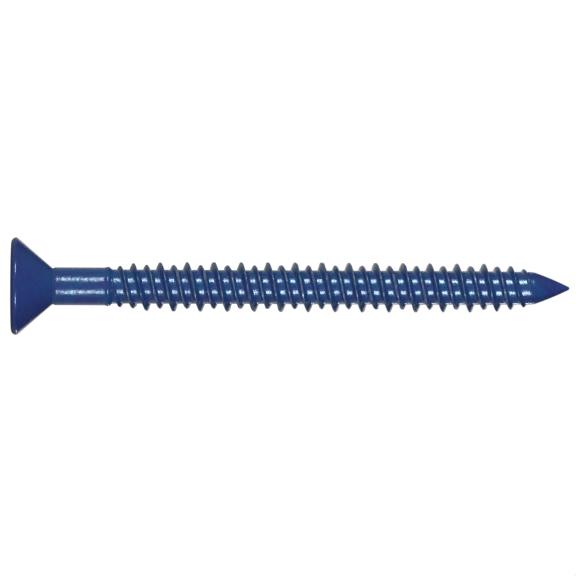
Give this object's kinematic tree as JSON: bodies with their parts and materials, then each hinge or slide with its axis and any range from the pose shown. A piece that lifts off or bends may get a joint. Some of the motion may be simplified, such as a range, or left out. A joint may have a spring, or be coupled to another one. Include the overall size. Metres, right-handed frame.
{
  "type": "concrete screw",
  "caption": "Blue-coated countersunk screw with a high and a low thread that cuts its own way into a hole drilled in concrete, brick or block.",
  "frame": {"origin": "centre of the head's flat face, which the screw stands on", "axes": "+Z runs along the screw's axis from the head to the point; +X is the side on which the high ridge's crest lies 13.645 mm above the face; +Y completes the right-handed frame"},
  "size_m": [0.0122, 0.0122, 0.0698],
  "materials": {
    "blue_coating": "thin glossy deep blue corrosion-resistant coating over hardened steel, with a slight orange-peel texture"
  },
  "bodies": {
    "root": {"concrete_screw": "blue_coating"}
  },
  "joints": []
}
